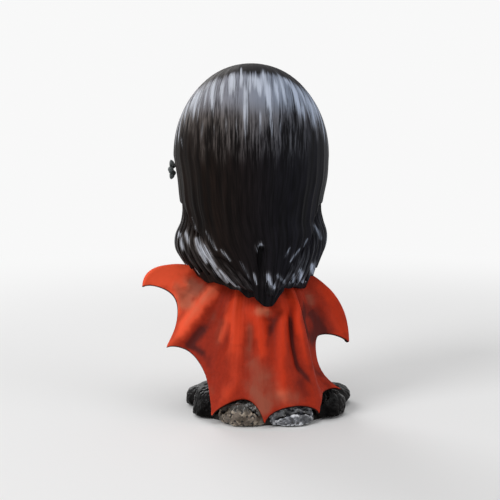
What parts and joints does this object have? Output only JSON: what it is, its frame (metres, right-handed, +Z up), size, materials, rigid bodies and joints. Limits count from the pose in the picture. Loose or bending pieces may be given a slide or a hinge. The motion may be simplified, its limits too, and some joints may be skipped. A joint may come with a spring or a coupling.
{
  "type": "painted miniature figure",
  "caption": "Painted miniature: a small standing figure with a large head, long straight hair and a scalloped cape, on a ring of rounded stones.",
  "frame": {"origin": "centre of the base's underside", "axes": "+Z up, the figure faces -Y, and its left hand is towards +X"},
  "size_m": [0.0332, 0.0264, 0.0541],
  "materials": {
    "ground": "dark painted ground",
    "stone": "grey stone paint, satin",
    "wet_stone": "black stone paint, gloss",
    "leather": "black boot paint, satin",
    "stocking": "dark grey-violet paint",
    "dress": "charcoal cloth paint",
    "belt": "brown leather paint",
    "metal": "silver metallic paint",
    "skin": "skin paint, satin",
    "hair": "black hair paint, satin, with pale blue-grey streaks",
    "petal": "pale grey paint",
    "cape": "layered red paint, satin",
    "pin": "plain wire"
  },
  "bodies": {
    "root": {"base_disc": "ground", "standing_slab": "stone", "cobble_1": "stone", "cobble_2": "wet_stone", "cobble_3": "wet_stone", "cobble_4": "wet_stone", "cobble_5": "wet_stone", "cobble_6": "wet_stone", "cobble_7": "wet_stone", "cobble_8": "wet_stone", "cobble_9": "stone", "boot_left": "leather", "leg_left": "stocking", "leg_pin_left": "pin", "arm_left": "dress", "shoulder_pin_left": "pin", "hand_left": "skin", "side_lock_left": "hair", "boot_right": "leather", "leg_right": "stocking", "leg_pin_right": "pin", "arm_right": "dress", "shoulder_pin_right": "pin", "hand_right": "skin", "side_lock_right": "hair", "skirt": "dress", "bodice": "dress", "belt": "belt", "belt_buckle": "metal", "neck": "skin", "head": "skin", "hair_peg": "pin", "hair_back": "hair", "hair_front": "hair", "hair_clip": "petal", "cape": "cape", "cape_peg": "pin", "cape_tie": "belt", "cape_clasp": "metal"}
  },
  "joints": []
}
